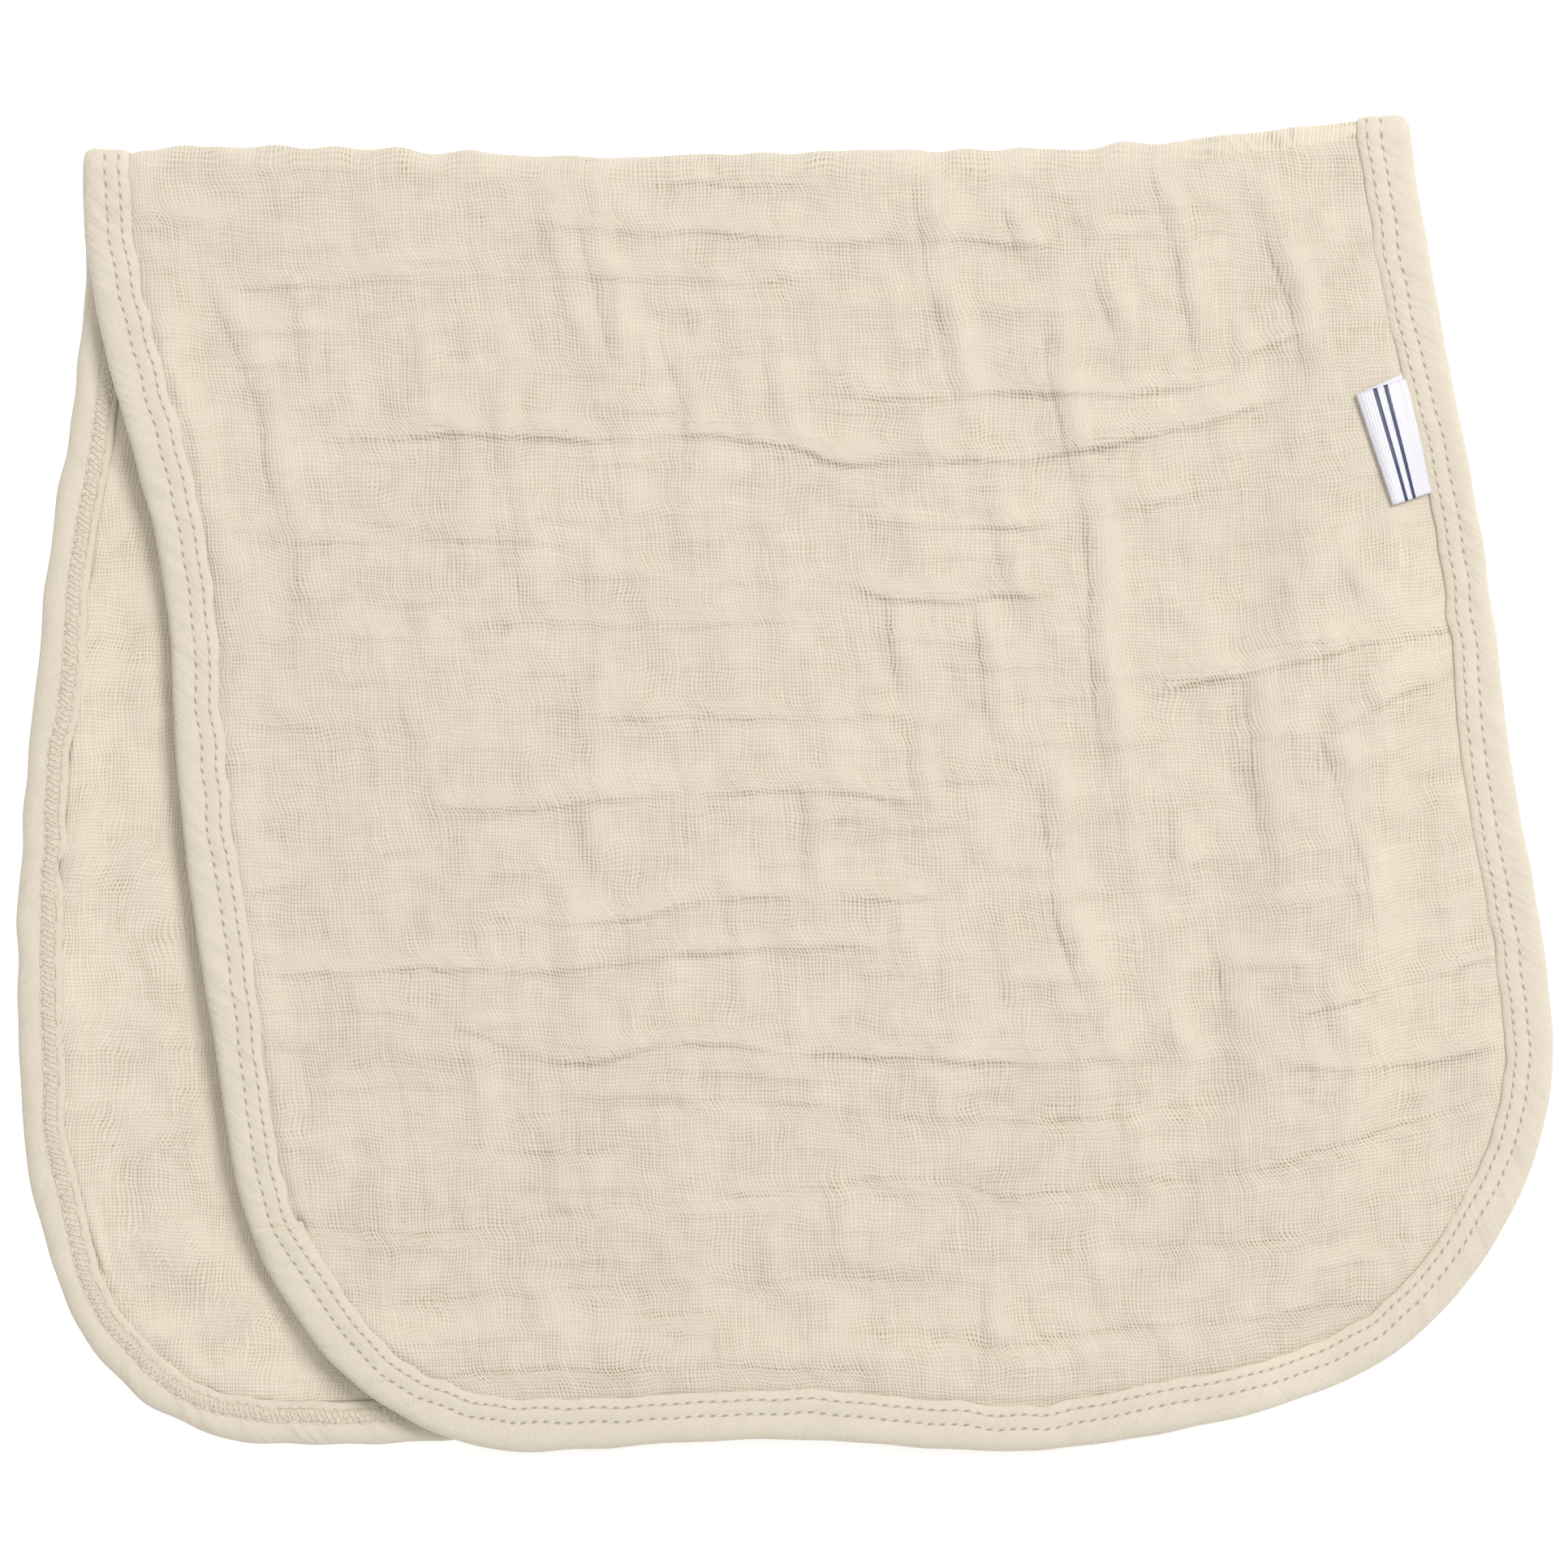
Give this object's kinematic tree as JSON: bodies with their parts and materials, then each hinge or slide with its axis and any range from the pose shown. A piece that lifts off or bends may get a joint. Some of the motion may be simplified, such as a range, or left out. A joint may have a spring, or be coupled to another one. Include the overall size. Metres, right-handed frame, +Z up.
{
  "type": "burp cloth",
  "caption": "Soft gauze burp cloth with round corners and a bound edge, folded once over its waist, its layers fanned a little apart.",
  "frame": {"origin": "on the table under the middle of the folded cloth", "axes": "+Z up from the table, +Y towards the fold, +X to the right along the fold"},
  "size_m": [0.2963, 0.2573, 0.0112],
  "materials": {
    "gauze": "cream cotton gauze, open plain weave in several plies, softly puckered",
    "bias_tape": "cream cotton bias tape, close and smooth, sewn with two needle rows",
    "satin_ribbon": "cool white woven satin ribbon with fine ribs"
  },
  "bodies": {
    "root": {"muslin_panel": "gauze", "edge_binding": "bias_tape", "side_label": "satin_ribbon"}
  },
  "joints": []
}
